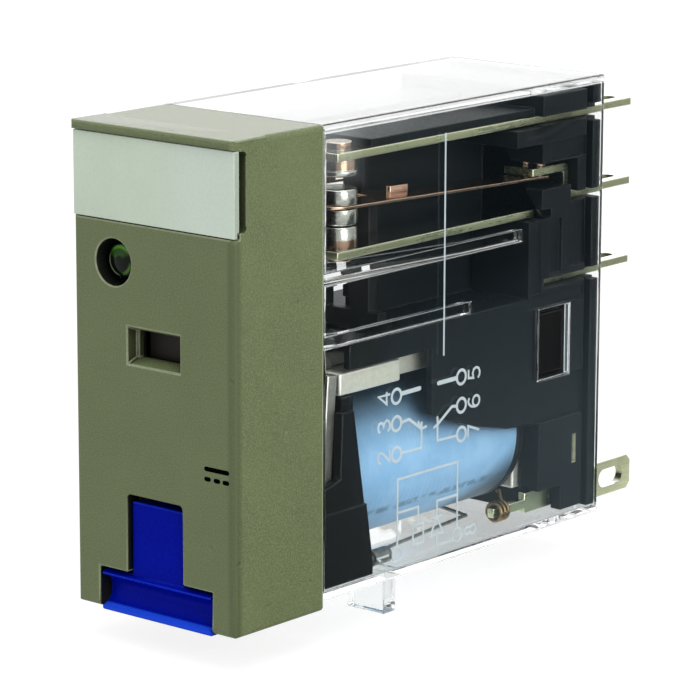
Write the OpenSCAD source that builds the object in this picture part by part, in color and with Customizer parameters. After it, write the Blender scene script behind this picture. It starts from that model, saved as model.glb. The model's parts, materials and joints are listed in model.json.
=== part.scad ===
// Plug-in power relay with two change-over poles, a clear case and a front cap.
// Lengths in millimetres. X is the width, Z runs along the tall side.
// Heights are written from the bottom of the cap and depths from its face,
// then everything is moved so the origin is the middle of the socket face.

/* [Body] */
// Width of the front cap
body_w = 12.6; // [12:0.1:14]
// Tall side of the cap
body_h = 29; // [28.5:0.1:30]
// Depth from the cap face to the socket face
body_d = 35; // [34.5:0.1:36]
// Depth of the front cap
cap_d = 7.7; // [7:0.1:8]
// Thickness of the cap face
cap_face = 1.2; // [1:0.1:1.4]
// Thickness of the cap sides
cap_wall = 0.55; // [0.5:0.05:0.6]
// Rounding of the cap edges
cap_round = 0.35; // [0.2:0.05:0.5]
// Thickness of the clear case
case_wall = 0.5; // [0.4:0.05:0.55]
// Step from the cap bottom up to the case bottom
case_step = 0.5; // [0.3:0.05:0.6]

/* [Marker plate and lamp] */
// Height of the blank marker plate
plate_h = 5; // [4:0.1:5.2]
// Thickness of the marker plate
plate_t = 0.45; // [0.3:0.05:0.6]
// Depth of the finger notches behind the plate
notch_d = 1.03; // [0.8:0.01:1.1]
// Diameter of the lamp hole
lamp_hole = 2.78; // [2.5:0.02:3.2]
// Diameter of the lamp lens
lamp_d = 2; // [1.6:0.1:2.3]
// Sideways place of the lamp
lamp_x = -3.13; // [-3.4:0.01:-2.6]
// Drop from the marker plate to the lamp centre
lamp_drop = 2.47; // [2.2:0.01:2.6]

/* [Status window] */
// Width of the opening at the cap face
window_w = 4.12; // [3.8:0.02:4.4]
// Height of the opening at the cap face
window_h = 2.24; // [2:0.02:2.4]
// Rise from the armature hinge to the lower edge of the opening
window_rise = 1.34; // [1.2:0.02:1.5]
// Inward slope of the opening
window_bevel = 0.3; // [0.1:0.05:0.35]

/* [Test lever] */
// Width of the lever stem
stem_w = 4.06; // [3.6:0.02:4.3]
// Top of the lever stem
stem_top = 6.78; // [6.6:0.02:6.9]
// Width of the lever foot
foot_w = 8.6; // [8:0.1:8.8]
// Top of the lever foot
foot_top = 2.32; // [2.1:0.02:2.4]
// Gap around the lever
lever_gap = 0.18; // [0.12:0.01:0.2]
// Depth of the stem below the cap face
lever_sink = 0.3; // [0.2:0.05:0.35]
// Radius of the finger scoop
scoop_r = 0.95; // [0.8:0.05:1]

/* [Contact bank] */
// Sideways place of each pole
pole_x = 3.75; // [3.7:0.01:3.8]
// Width of the contact blades
blade_w = 2.3; // [2.1:0.05:2.35]
// Thickness of every blade
blade_t = 0.5; // [0.4:0.05:0.5]
// Reach of the contact blades past the socket face
blade_out = 5.2; // [4.5:0.1:6]
// Drop from the case top to the upper blade centre
upper_drop = 2.38; // [2.3:0.02:2.5]
// Pitch from the upper to the middle blade
middle_pitch = 5.12; // [5.05:0.01:5.2]
// Pitch from the middle to the lower blade
lower_pitch = 5.17; // [5:0.01:5.2]
// Depth of the contact centres
contact_y = 11.7; // [11.6:0.1:12]
// Diameter of the contact heads
contact_d = 2.3; // [2:0.05:2.3]
// Open gap at the upper contact
contact_gap = 0.7; // [0.68:0.01:0.8]
// Height of one moving contact head
head_h = 0.98; // [0.85:0.01:1]

/* [Moving springs] */
// Thickness of the copper strip
spring_t = 0.18; // [0.12:0.01:0.2]
// Width of the copper strip
spring_w = 2.1; // [1.9:0.05:2.2]
// Distance from the spring roots to the socket face
spring_back = 4.5; // [4.3:0.1:4.7]

/* [Coil] */
// Gap between the coil and the yoke
coil_gap = 0.68; // [0.6:0.02:0.8]
// Gap between the coil and the case floor
coil_lift = 0.95; // [0.9:0.05:1.1]
// Distance from the front edge of the yoke to the winding
coil_step = 1.2; // [1.15:0.05:1.4]
// Distance from the winding to the terminal block
coil_back = 1.3; // [1.3:0.1:2]
// Core radius as a share of the coil radius
core_share = 0.39; // [0.35:0.01:0.41]
// Reach of the coil blades past the socket face
coil_out = 5.7; // [5:0.1:6.5]
// Sideways place of each coil blade
coil_x = 4.5; // [4.3:0.05:4.6]
// Height of the coil blades
coil_blade_h = 2.3; // [2.1:0.05:2.4]

/* [Armature] */
// Swing of the armature from open to drawn in
swing = 4.5; // [4.4:0.05:4.55]
// Thickness of the armature sheet
armature_t = 0.85; // [0.8:0.01:0.88]
// Thickness of the yoke sheet
yoke_t = 1.37; // [1.2:0.01:1.4]
// Distance from the cap to the yoke
yoke_gap = 2.85; // [2.8:0.05:2.9]
// Drop from the terminal floor to the yoke
yoke_drop = 1.3; // [1.3:0.02:1.4]
// Depth of the pusher card
card_y = 16.5; // [16.3:0.1:16.7]

/* [Hidden] */
round_fn = 64;
small_fn = 32;
fit = 0.03;
play = 0.04;
hair = 0.02;
cut = 1;
cap_hw = body_w / 2;
case_hw = cap_hw - hair;
room_hw = case_hw - case_wall;
base_hw = room_hw - fit;
room_z0 = case_step + case_wall;
room_z1 = body_h - case_wall;
neck_y = cap_d - 2.3;
neck_hw = cap_hw - cap_wall - 0.05;
neck_z0 = cap_wall + 0.05;
neck_z1 = body_h - cap_wall - 0.05;
neck_t = 0.5;
neck_in = neck_hw - neck_t;
lip_h = 0.55;
lip_out = 0.25;
plate_z1 = body_h - lip_h - 0.05;
plate_z0 = plate_z1 - plate_h;
plate_seat = plate_t + hair;
upper_z = body_h - upper_drop;
middle_z = upper_z - middle_pitch;
lower_z = middle_z - lower_pitch;
half_t = blade_t / 2;
bar_front = contact_y - 1.4;
blade_x0 = pole_x - blade_w / 2;
blade_x1 = pole_x + blade_w / 2;
lead_y = body_d + blade_out;
coil_lead_y = body_d + coil_out;
flange_y0 = body_d - 0.8;
groove_y0 = flange_y0 - 0.45;
block_y0 = body_d - 5.8;
spring_y = body_d - spring_back;
block_hw = base_hw - 0.15;
relief_hw = block_hw - 0.25;
floor_z1 = lower_z - 0.78;
floor_z0 = floor_z1 - 0.55;
yoke_z1 = floor_z0 - yoke_drop;
yoke_z0 = yoke_z1 - yoke_t;
yoke_y = cap_d + yoke_gap;
yoke_hw = base_hw - 0.85;
leg_y0 = block_y0 - 0.5;
leg_y1 = block_y0 + 0.7;
rear_hw = yoke_hw - 1;
coil_room = yoke_z0 - coil_gap - room_z0 - coil_lift;
coil_r = min(coil_room / 2, base_hw - 0.9);
coil_z = yoke_z0 - coil_gap - coil_r;
coil_front = yoke_y + coil_step;
coil_rear = block_y0 - coil_back;
core_r = coil_r * core_share;
hinge_y = yoke_y - 0.05;
hinge_z = yoke_z1 + hair;
bend_r = armature_t + 0.05;
leg_top = hinge_z + bend_r;
pole_y = yoke_y;
cheek_hw = base_hw - 0.8;
foot_z = room_z0 + 0.1;
window_z = hinge_z + window_rise;
lamp_z = plate_z0 - lamp_drop;
snap_y0 = body_d - 6.4;
snap_y1 = body_d - 3.25;
snap_z1 = lower_z - 1.53;
snap_z0 = snap_z1 - 4.55;
knee_y = body_d - 2.7;
riser_x1 = blade_x0 + 1.4;
riser_y = block_y0 + 0.4;
post_y = block_y0 - 3.5;
skirt_y = card_y + 2.1;
skirt_run = block_y0 - skirt_y;
upper_face = upper_z - half_t;
fixed_upper = 1.03;
gap_top = upper_face - fixed_upper;
gap_low = gap_top - contact_gap;
spring_mid = gap_low - head_h - spring_t / 2 - 0.04;
head_low = spring_mid - spring_t / 2 - 0.04 - head_h;
fixed_low_top = head_low - hair;
low_bar_z1 = fixed_low_top - 1.38;
low_bar_z0 = low_bar_z1 - blade_t;
com_z0 = spring_mid - 0.46;
root_z = com_z0 - spring_t / 2 - 0.12;
spring_run = spring_y - contact_y;
spring_rise = atan((spring_mid - root_z) / spring_run);
card_run = spring_y - card_y;
card_top = root_z + card_run * tan(spring_rise) - spring_t / 2 - 0.03;
foot_r = 0.4;
stem_hw = stem_w / 2;
foot_hw = foot_w / 2;
pivot_y = 0.75;
pivot_z = stem_top - 0.58;
pin_r = 0.3;
lamp_r = lamp_d / 2;
board_y = neck_y - 1.4;
board_t = 0.8;
board_hw = neck_in - 0.6;
board_z0 = plate_z0 - 5.1;
skirt_x0 = base_hw - 0.8;
skirt_x1 = skirt_x0 + 0.5;
wire_r = 0.12;
low_z = room_z0 + 0.62;
post_z = room_z0 + 1.05;
coil_blade_z = room_z0 + 0.95;

// Moves the drawing from cap coordinates to the socket face origin
module place() {
  translate([0, -body_d, -body_h / 2])
    children();
}

// Draws a pole on the right or mirrors it to the left
module pole(side) {
  mirror([side < 0 ? 1 : 0, 0, 0])
    children();
}

// Box between two corners
module slab(x0, x1, y0, y1, z0, z1) {
  translate([x0, y0, z0])
    cube([x1 - x0, y1 - y0, z1 - z0]);
}

// Round bar along X
module rod_x(x0, x1, y, z, r, sides = small_fn) {
  translate([x0, y, z])
    rotate([0, 90, 0])
      cylinder(h = x1 - x0, r = r, $fn = sides);
}

// Round bar along Y
module rod_y(x, y0, y1, z, r, sides = small_fn) {
  translate([x, y0, z])
    rotate([-90, 0, 0])
      cylinder(h = y1 - y0, r = r, $fn = sides);
}

// Round bar along Z
module rod_z(x, y, z0, z1, r, sides = small_fn) {
  translate([x, y, z0])
    cylinder(h = z1 - z0, r = r, $fn = sides);
}

// Rectangle with round corners
module soft_rect(u0, u1, v0, v1, r) {
  translate([u0 + r, v0])
    square([u1 - u0 - 2 * r, v1 - v0]);
  translate([u0, v0 + r])
    square([u1 - u0, v1 - v0 - 2 * r]);
  for (u = [u0 + r, u1 - r])
    for (v = [v0 + r, v1 - r])
      translate([u, v])
        circle(r = r, $fn = small_fn);
}

// Outline in Y and Z drawn out along X
module run_x(x0, x1) {
  translate([x0, 0, 0])
    rotate([90, 0, 90])
      linear_extrude(x1 - x0)
        children();
}

// Outline in X and Z drawn out along Y
module run_y(y0, y1) {
  translate([0, y1, 0])
    rotate([90, 0, 0])
      linear_extrude(y1 - y0)
        children();
}

// Outline in X and Y drawn out along Z
module run_z(z0, z1) {
  translate([0, 0, z0])
    linear_extrude(z1 - z0)
      children();
}

// Round wire through a list of points, each run reaching a little past its ends
module wire(points, r) {
  for (i = [0 : len(points) - 2]) {
    d = points[i + 1] - points[i];
    run = norm(d);
    translate(points[i])
      rotate([0, acos(d[2] / run), atan2(d[1], d[0])])
        translate([0, 0, -r / 2])
          cylinder(h = run + r, r = i % 2 ? r * 0.94 : r, $fn = 16);
  }
}

// Opening that narrows inward through the cap face
module window_cut() {
  inner_w = window_w - 0.4;
  inner_h = window_h - 2 * window_bevel;
  slab(-inner_w / 2, inner_w / 2, -cut, cap_face + cut, window_z + window_bevel,
    window_z + window_bevel + inner_h);
  slope = atan(window_bevel / 0.8);
  intersection() {
    slab(-window_w / 2, window_w / 2, -cut, 0.8, window_z - cut, window_z + window_h + cut);
    for (end = [0, 1])
      translate([0, 0, window_z + end * window_h])
        rotate([(end * 2 - 1) * -slope, 0, 0])
          slab(-window_w, window_w, -cut, 3, end ? -window_h * 0.6 : 0, end ? 0 : window_h * 0.6);
  }
}

// Front cap with plate seat, lamp hole, status window and lever cut-out
module cap_housing() {
  color([0.47, 0.46, 0.37])
    difference() {
      union() {
        difference() {
          intersection() {
            run_x(-cap_hw, cap_hw)
              soft_rect(0, cap_d + 2, 0, body_h, cap_round);
            run_y(-cut, cap_d)
              soft_rect(-cap_hw, cap_hw, 0, body_h, cap_round);
            run_z(0, body_h)
              soft_rect(-cap_hw, cap_hw, 0, cap_d + 2, cap_round);
          }
          slab(-cap_hw - cut, cap_hw + cut, -cut, plate_seat, plate_z0 - 0.05, plate_z1 + 0.05);
          for (side = [-1, 1])
            pole(side)
              run_x(cap_hw - 0.9, cap_hw + cut)
                soft_rect(-cut, notch_d, plate_z0 + 0.3, plate_z1 - 0.05, 0.3);
        }
        intersection() {
          run_x(-cap_hw, cap_hw)
            soft_rect(-lip_out, 3, body_h - lip_h, body_h, 0.24);
          run_z(body_h - lip_h - cut, body_h + cut)
            soft_rect(-cap_hw, cap_hw, -lip_out, 9, cap_round);
          slab(-cap_hw, cap_hw, -cut, 2.7, 0, body_h + cut);
        }
      }
      slab(-cap_hw + cap_wall, cap_hw - cap_wall, cap_face, cap_d + cut, cap_wall, plate_z0 - 0.5);
      slab(-cap_hw + cap_wall, cap_hw - cap_wall, cap_face + 0.5, cap_d + cut, plate_z0 - 0.5 - hair,
        body_h - cap_wall);
      rod_y(lamp_x, -cut, cap_face + cut, lamp_z, lamp_hole / 2, round_fn);
      window_cut();
      run_y(-cut, cap_face + cut) {
        soft_rect(-stem_hw - lever_gap, stem_hw + lever_gap, 1, stem_top + 0.5, 0.3);
        translate([-foot_hw - lever_gap, -cut])
          square([2 * (foot_hw + lever_gap), foot_top + lever_gap + cut]);
      }
      slab(-foot_hw - lever_gap, foot_hw + lever_gap, -cut, 1.7, -cut, cap_wall + cut);
      rod_x(-stem_hw - 0.9, stem_hw + 0.9, pivot_y, pivot_z, pin_r + play);
    }
}

// Blank clip-in marker plate
module marker_plate() {
  color([0.9, 0.93, 0.9])
    difference() {
      slab(-cap_hw + 0.04, cap_hw - 0.02, 0, plate_t, plate_z0, plate_z1);
      slab(cap_hw - 0.3, cap_hw + cut, 0.3, 1, plate_z0 - cut, plate_z0 + 0.35);
    }
}

// Swing-out test lever with finger scoop, pivot pins and pressing tail
module test_lever() {
  color([0.05, 0.16, 0.72]) {
    difference() {
      union() {
        slab(-stem_hw, stem_hw, lever_sink, 1.15, foot_top - 0.4, stem_top);
        run_x(-foot_hw, foot_hw)
          polygon([
            [1.3, foot_top], [0.35, foot_top], [0.02, foot_top - 0.2], [0.02, foot_top - 0.42],
            [0.3, 1], [0.02, 0.3], [0.02, -0.1], [0.12, -0.17], [1.3, -0.17]
          ]);
      }
      rod_x(-foot_hw - cut, foot_hw + cut, -0.12, 1.09, scoop_r, round_fn);
    }
    rod_x(-stem_hw - 0.85, stem_hw + 0.85, pivot_y, pivot_z, pin_r);
    slab(-1.2, 1.2, 1, 1.8, pivot_z - 0.3, pivot_z + 0.3);
    slab(-1.2, 1.2, cap_face + 0.1, 1.8, pivot_z - 0.3, pivot_z + 2.2);
  }
}

// Small circuit board behind the cap face
module led_board() {
  color([0.2, 0.42, 0.26])
    difference() {
      slab(-board_hw, board_hw, board_y, board_y + board_t, board_z0, plate_z0 + 2.9);
      for (x = [-board_hw + 0.7, board_hw - 0.7])
        rod_z(x, board_y + board_t / 2, board_z0 - 0.3, board_z0 + 0.3, 0.3, 24);
    }
}

// Lamp with a round lens facing the hole
module led_lamp() {
  front = cap_face - 0.5;
  dome_h = 0.2;
  dome_r = (lamp_r * lamp_r + dome_h * dome_h) / 2 / dome_h;
  color([0.1, 0.6, 0.2]) {
    rod_y(lamp_x, front, board_y - hair, lamp_z, lamp_r, round_fn);
    rod_y(lamp_x, board_y - 0.6, board_y - hair, lamp_z, lamp_r + 0.2, round_fn);
    intersection() {
      rod_y(lamp_x, front - dome_h, front + 0.1, lamp_z, lamp_r, round_fn);
      translate([lamp_x, front - dome_h + dome_r, lamp_z])
        sphere(r = dome_r, $fn = round_fn);
    }
  }
}

// Chip resistor on the board
module resistor() {
  color([0.1, 0.1, 0.12]) {
    slab(0.9, 2.3, board_y - 0.5, board_y - hair, board_z0 + 2.3, board_z0 + 3.1);
    slab(0.7, 2.5, board_y - 0.55, board_y - hair, board_z0 + 2.4, board_z0 + 3);
  }
}

// Glass diode with its wire under the coil
module diode() {
  color([0.8, 0.75, 0.6]) {
    rod_y(coil_x, coil_front + 2.15, coil_front + 3.65, low_z, 0.5);
    rod_y(coil_x, coil_front + 1.2, coil_front + 2.17, low_z, 0.36);
    wire([
      [coil_x, coil_front + 3.55, low_z], [coil_x - 0.9, coil_front + 5.05, low_z - hair],
      [coil_x - 1.9, post_y - 0.1, low_z - hair], [-coil_x + 0.9, post_y + 1.5, low_z - hair]
    ], wire_r);
  }
}

// Armature frame: Y and Z measured from the hinge line, turned to the open pose
module open_frame() {
  translate([0, hinge_y, hinge_z])
    rotate([-swing, 0, 0])
      children();
}

// Outer face of the tilted armature plate at a height below the hinge line
function plate_face(drop) = hinge_y - bend_r * cos(swing) - (drop + bend_r * sin(swing)) * tan(swing);

// Status flag and its arm, pegged to the armature
module indicator_flag() {
  top = 0.55;
  low = 1.7;
  color([0.3, 0.2, 0.13]) {
    slab(-1.65, 1.65, cap_face + 0.3, cap_face + 0.8, window_z - 0.6, window_z + window_h + 0.6);
    run_x(-0.7, 0.7)
      polygon([
        [cap_face + 0.75, window_z - 0.5], [cap_face + 0.75, window_z + 0.6], [6, hinge_z + 0.7],
        [hinge_y - bend_r - 0.35, hinge_z - top + 0.3], [plate_face(top) - hair, hinge_z - top],
        [plate_face(low) - hair, hinge_z - low], [5.8, hinge_z - 0.5]
      ]);
    open_frame()
      rod_y(0, -bend_r - 0.3, -0.07, -1.2, 0.34);
  }
}

// Clear case with neck, inner ribs, side windows and bottom tab
module case_cover() {
  color([0.86, 0.92, 0.94, 0.35])
    difference() {
      union() {
        run_y(cap_d + hair, body_d)
          soft_rect(-case_hw, case_hw, case_step, body_h, 0.25);
        slab(-neck_hw, neck_hw, neck_y, cap_d + 0.3, neck_z0, neck_z1);
        for (x = [-board_hw + 0.7, board_hw - 0.7])
          for (z = [board_z0 + 0.9, plate_z0 + 2.2])
            rod_y(x, board_y + board_t + hair, neck_y + 0.1, z, 0.45);
        slab(room_hw - 3.28, room_hw - 0.38, card_y - 2.1, card_y - 0.9, case_step - 2.4,
          case_step + 0.1);
      }
      difference() {
        slab(-room_hw, room_hw, cap_d + 0.42, body_d + cut, room_z0, room_z1);
        for (side = [-1, 1])
          pole(side) {
            run_z(low_bar_z0 - 1.05, low_bar_z0 - 0.38)
              polygon([
                [room_hw + cut, cap_d], [2.7, cap_d], [2.7, cap_d + 0.6], [room_hw - 0.75, card_y + 5],
                [room_hw - 0.75, block_y0 - 2.3], [room_hw + cut, block_y0 - 2.3]
              ]);
            run_z(floor_z1 + 0.12, floor_z1 + 0.82)
              polygon([
                [room_hw + cut, cap_d], [room_hw - 1.6, cap_d], [room_hw - 0.7, cap_d + 2.4],
                [room_hw - 0.7, card_y + 5.1], [room_hw - 0.4, card_y + 5.4],
                [room_hw + cut, card_y + 5.4]
              ]);
          }
      }
      slab(-neck_in, neck_in, neck_y + neck_t, cap_d + 0.5, neck_z0 + neck_t, neck_z1 - neck_t);
      slab(-2.8, 2.8, neck_y - cut, neck_y + neck_t + cut, hinge_z - 1.9, hinge_z + 2.6);
      for (side = [-1, 1])
        pole(side)
          slab(room_hw - cut, case_hw + cut, snap_y0, snap_y1, snap_z0, snap_z1);
    }
}

// Side-open slot for one flat contact bar
module bar_slot(z, y0, x1) {
  slab(blade_x0 - fit, x1, y0, body_d + cut, z - half_t - fit, z + half_t + fit);
}

// Moulded base: socket plate, terminal block, pole barrier, floor and coil skirts
module base() {
  color([0.1, 0.11, 0.12])
    difference() {
      union() {
        slab(-base_hw, base_hw, flange_y0, body_d, room_z0 + 0.05, room_z1 - 0.05);
        slab(-base_hw + 0.55, base_hw - 0.55, groove_y0 - 0.1, flange_y0 + 0.1, room_z0 + 0.4,
          room_z1 - 0.4);
        slab(-block_hw, block_hw, block_y0, groove_y0, room_z0 + 0.25, room_z1 - 0.3);
        for (side = [-1, 1])
          pole(side) {
            slab(0.7, blade_x1 - play, contact_y + 1.7, block_y0 + 0.1, upper_z + half_t + hair,
              upper_z + half_t + 0.5);
            slab(1, block_hw, block_y0 - 2.6, block_y0 + 0.1, upper_face - 1.15, upper_face - 0.1);
            slab(1, block_hw - 0.1, block_y0 - 1.2, block_y0 + 0.1, floor_z1 - 0.4, low_bar_z0 - 0.1);
            run_x(skirt_x0, skirt_x1)
              polygon([
                [yoke_y + 0.25, yoke_z1 + 0.25], [skirt_y, yoke_z1 + 0.25], [skirt_y, coil_z + 3],
                [skirt_y + 0.13 * skirt_run, coil_z + 2.45], [skirt_y + 0.42 * skirt_run, coil_z + 1.5],
                [skirt_y + 0.7 * skirt_run, coil_z + 0.8], [block_y0 + 0.5, coil_z + 0.4],
                [block_y0 + 0.5, floor_z1], [yoke_y + 0.25, floor_z1]
              ]);
            slab(room_hw - 0.6, room_hw + 0.15, snap_y0 + 0.35, snap_y1 - 0.35, snap_z0 + 0.35,
              snap_z1 - 0.35);
          }
        slab(-skirt_x1, skirt_x1, yoke_y + 0.25, block_y0 + 0.1, floor_z0, floor_z1);
        run_x(-0.8, 0.8)
          polygon([
            [card_y + 1, floor_z0], [card_y + 1, upper_z - 0.1], [groove_y0, upper_z + 0.4],
            [groove_y0, floor_z0]
          ]);
      }
      slab(-rear_hw - 0.08, rear_hw + 0.08, block_y0 - 1.3, leg_y1 + 0.12, room_z0, yoke_z1 + 0.08);
      rod_y(0, leg_y1 + 0.1, leg_y1 + 0.7, coil_z, 1.6);
      slab(-3.5, 3.5, hinge_y + 2.9, card_y + 1.25, floor_z0 - cut, floor_z1 + cut);
      for (side = [-1, 1])
        pole(side) {
          bar_slot(upper_z, block_y0 - 3.2, base_hw + cut);
          slab(blade_x1 + 0.4, base_hw + cut, flange_y0 - 0.1, body_d + cut, upper_z - 0.5,
            upper_z + 0.6);
          bar_slot(middle_z, knee_y - 0.1, base_hw + cut);
          slab(1.6, base_hw + cut, block_y0 - 1.2, knee_y + 0.6, com_z0 - 0.75,
            com_z0 + blade_t + 0.35);
          slab(blade_x0 - fit, base_hw + cut, knee_y - 0.1, knee_y + 0.6, middle_z - half_t - fit,
            com_z0 + blade_t + 0.1);
          bar_slot(lower_z, riser_y - 0.1, base_hw + cut);
          slab(blade_x1 + 0.4, base_hw + cut, flange_y0 - 0.1, body_d + cut, lower_z - 0.4,
            lower_z + 0.4);
          slab(blade_x0 - fit, base_hw + cut, block_y0 - 3.2, riser_y + blade_t + 0.05,
            low_bar_z0 - fit, low_bar_z1 + fit);
          slab(blade_x0 - fit, riser_x1 + 0.05, riser_y - 0.1, riser_y + blade_t + 0.05,
            lower_z - half_t - fit, low_bar_z1 + fit);
          slab(relief_hw, base_hw + cut, block_y0 + 0.85, groove_y0 + hair, upper_face - 2.3,
            upper_face - 1.1);
          slab(relief_hw, base_hw + cut, block_y0 + 2.6, groove_y0 + hair, lower_z + 0.8,
            middle_z - 0.3);
          slab(relief_hw, base_hw + cut, block_y0 + 0.9, block_y0 + 2.1, lower_z + 0.5,
            low_bar_z0 - 0.2);
          slab(block_hw - 0.2, base_hw + cut, block_y0 - cut, groove_y0 + hair, coil_z + 0.6,
            snap_z0 - 0.05);
          slab(block_hw - 0.2, base_hw + cut, block_y0 - cut, groove_y0 + hair, snap_z1 + 0.05,
            lower_z - 0.6);
          slab(relief_hw, base_hw + cut, flange_y0 - 1.45, flange_y0 - 1.1, coil_blade_z + 2.25,
            coil_blade_z + 4.05);
          slab(coil_x - 0.6, base_hw + cut, block_y0 - cut, block_y0 + 2.4, room_z0,
            post_z + 0.85);
          slab(coil_x - 0.28, coil_x + 0.28, block_y0 - 1.2, body_d + cut, room_z0 - cut,
            coil_blade_z + coil_blade_h / 2 + fit);
        }
    }
}

// Coil former: front cheeks, tube and round rear flange
module bobbin() {
  color([0.08, 0.085, 0.09])
    difference() {
      union() {
        slab(-cheek_hw, cheek_hw, pole_y + 0.1, coil_front - 0.05, room_z0 + 0.4, yoke_z0 - 0.05);
        for (side = [-1, 1])
          pole(side) {
            run_x(cheek_hw - 0.07, base_hw - 0.25)
              polygon([
                [yoke_y - 2.2, foot_z], [yoke_y - 2.2, coil_z + 0.3], [yoke_y - 0.6, coil_z + 0.7],
                [yoke_y - 0.45, yoke_z0 - 0.83], [yoke_y + 0.65, yoke_z0 - 0.83],
                [yoke_y + 2.25, foot_z + 0.9], [yoke_y + 2.25, foot_z]
              ]);
            run_x(cheek_hw - 0.07, base_hw - 0.08)
              polygon([
                [yoke_y - 2.2, foot_z], [yoke_y - 2.2, coil_z - 1.2], [yoke_y + 1.65, coil_z - 1.2],
                [yoke_y + 2.25, foot_z + 0.9], [yoke_y + 2.25, foot_z]
              ]);
          }
        rod_y(0, coil_front - 0.1, coil_rear + 0.1, coil_z, core_r + 0.5, round_fn);
        rod_y(0, coil_rear + 0.03, coil_rear + 0.65, coil_z, coil_r + 0.03, round_fn);
      }
      rod_y(0, 0, coil_rear + 2, coil_z, core_r + hair, round_fn);
      rod_y(0, 0, pole_y + 0.62, coil_z, core_r + 1.23, round_fn);
    }
}

// Copper winding
module coil_winding() {
  color([0.6, 0.3, 0.15])
    difference() {
      rod_y(0, coil_front, coil_rear, coil_z, coil_r - 0.25, round_fn);
      rod_y(0, coil_front - cut, coil_rear + cut, coil_z, core_r + 0.52, round_fn);
    }
}

// Blue tape around the winding
module coil_tape() {
  color([0.45, 0.65, 0.87])
    difference() {
      rod_y(0, coil_front + 0.02, coil_rear - 0.02, coil_z, coil_r, round_fn);
      rod_y(0, coil_front - cut, coil_rear + cut, coil_z, coil_r - 0.23, round_fn);
    }
}

// Iron core with pole shoe in front and riveted end behind
module coil_core() {
  color([0.62, 0.63, 0.64]) {
    rod_y(0, pole_y, pole_y + 0.6, coil_z, core_r + 1.2, round_fn);
    rod_y(0, pole_y + 0.5, leg_y0 - hair, coil_z, core_r, round_fn);
    rod_y(0, leg_y0 - 0.1, leg_y1 + 0.5, coil_z, 1.3, round_fn);
  }
}

// Bent yoke: wide front end, narrow run over the coil, leg behind it
module yoke() {
  color([0.72, 0.73, 0.72])
    difference() {
      union() {
        slab(-yoke_hw, yoke_hw, yoke_y, yoke_y + 5.65, yoke_z0, yoke_z1);
        slab(-rear_hw, rear_hw, yoke_y + 5.55, leg_y1, yoke_z0, yoke_z1);
        slab(-rear_hw, rear_hw, leg_y0, leg_y1, post_z + 0.9, yoke_z0 + 0.1);
      }
      rod_y(0, leg_y0 - 0.7, leg_y1 + 0.6, coil_z, 1.32, round_fn);
      difference() {
        slab(-yoke_hw, yoke_hw, leg_y1 - 0.5, leg_y1 + cut, yoke_z1 - 0.5, yoke_z1 + cut);
        rod_x(-cap_hw, cap_hw, leg_y1 - 0.5, yoke_z1 - 0.5, 0.5);
      }
    }
}

// Leaf spring that holds the armature on the yoke corner
module hinge_spring() {
  color([0.72, 0.6, 0.35])
    translate([0, hinge_y, hinge_z]) {
      intersection() {
        difference() {
          rod_x(-1.5, 1.5, 0, 0, bend_r + 0.18, round_fn);
          rod_x(-2, 2, 0, 0, bend_r + 0.03, round_fn);
        }
        slab(-2, 2, -2, 0.05, 0, 2);
      }
      slab(-1.5, 1.5, 0, 0.6, bend_r + 0.03, bend_r + 0.18);
      slab(-1.5, 1.5, 0.45, 0.6, 0, bend_r + 0.18);
      slab(-1.5, 1.5, 0.45, 4.8, 0, 0.15);
      for (y = [2.6, 4])
        rod_z(0, y, 0, 0.35, 0.4);
    }
}

// Angled armature, drawn in its open pose
module armature() {
  color([0.74, 0.75, 0.74])
    difference() {
      union() {
        open_frame()
          slab(-yoke_hw + 0.1, yoke_hw - 0.1, -bend_r, -0.05, room_z0 + 1.72 - hinge_z, 0.1);
        translate([0, hinge_y, hinge_z]) {
          difference() {
            rod_x(-3.6, 3.6, 0, 0, bend_r, round_fn);
            slab(-6, 6, -0.045, 3, -3, 0.06);
          }
          slab(-3.3, 3.3, 0, 6.7, 0.06, bend_r);
        }
      }
      translate([0, hinge_y, hinge_z])
        slab(-1.8, 1.8, 0.3, 8, -0.5, 2);
      open_frame()
        rod_y(0, -2, 1, -1.2, 0.36);
      difference() {
        open_frame()
          slab(-6, 6, -2, 1, -0.05, 2);
        translate([0, hinge_y, hinge_z])
          rod_x(-3.6, 3.6, 0, 0, bend_r, round_fn);
        translate([0, hinge_y, hinge_z])
          slab(-3.4, 3.4, 0, 8, 0, bend_r + cut);
      }
    }
}

// Pusher card between the armature legs and the moving springs
module card() {
  arm_x1 = blade_x0 - 0.15;
  color([0.13, 0.13, 0.14]) {
    for (side = [-1, 1])
      pole(side) {
        rod_x(2, 3.2, card_y, leg_top + hair + foot_r, foot_r);
        slab(0.95, arm_x1, card_y - 0.4, card_y + 0.4, leg_top + 0.9, card_top);
      }
    slab(-3.2, 3.2, card_y - 0.4, card_y + 0.4, leg_top + hair + foot_r, leg_top + 1.6);
  }
}

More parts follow.
